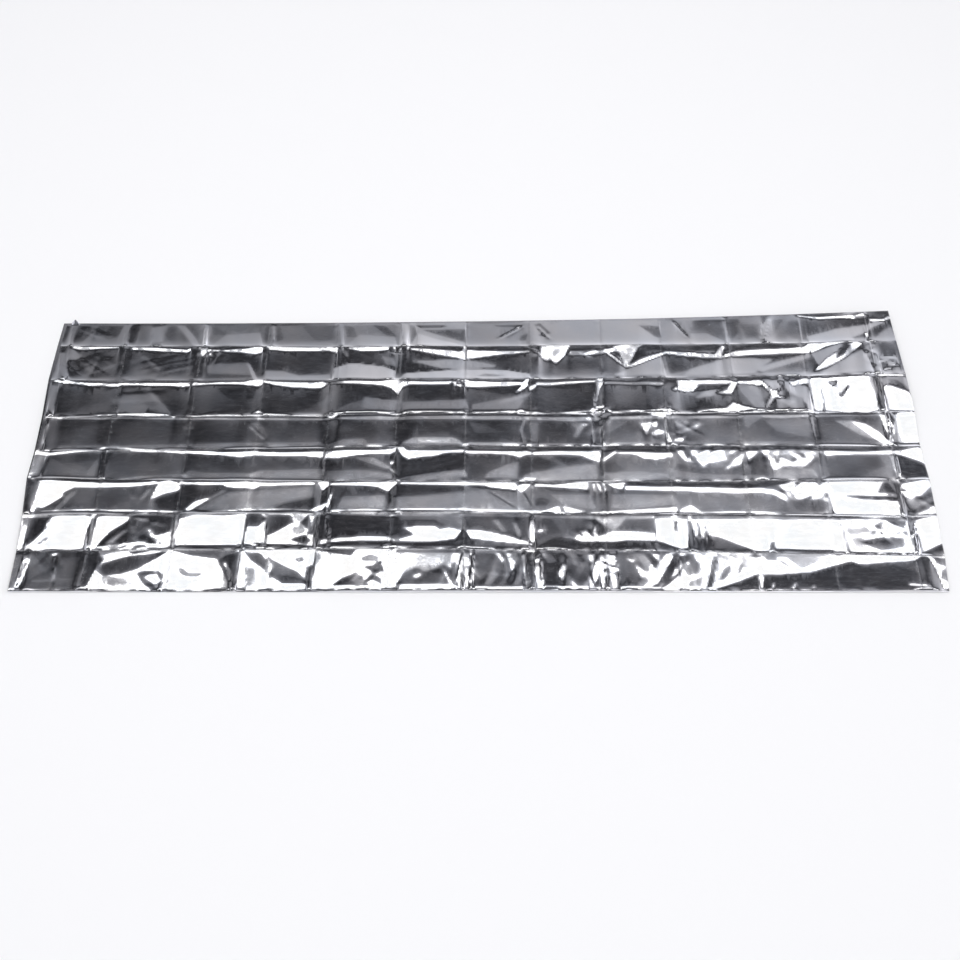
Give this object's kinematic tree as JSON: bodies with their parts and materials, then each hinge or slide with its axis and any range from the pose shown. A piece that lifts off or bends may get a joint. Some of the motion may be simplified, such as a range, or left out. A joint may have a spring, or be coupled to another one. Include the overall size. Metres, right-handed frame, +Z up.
{
  "type": "emergency foil blanket",
  "caption": "Aluminised film emergency blanket, folded in half lengthwise and laid flat, its upper layer creased in the grid of its packet.",
  "frame": {"origin": "on the floor, under the middle of the blanket's footprint", "axes": "+X along the blanket, +Y from the rolled fold at the front to the cut edges at the back, +Z up"},
  "size_m": [2.104, 0.809, 0.0164],
  "materials": {
    "silver_film": "bright crinkled aluminised film"
  },
  "bodies": {
    "root": {"foil_blanket": "silver_film"}
  },
  "joints": []
}
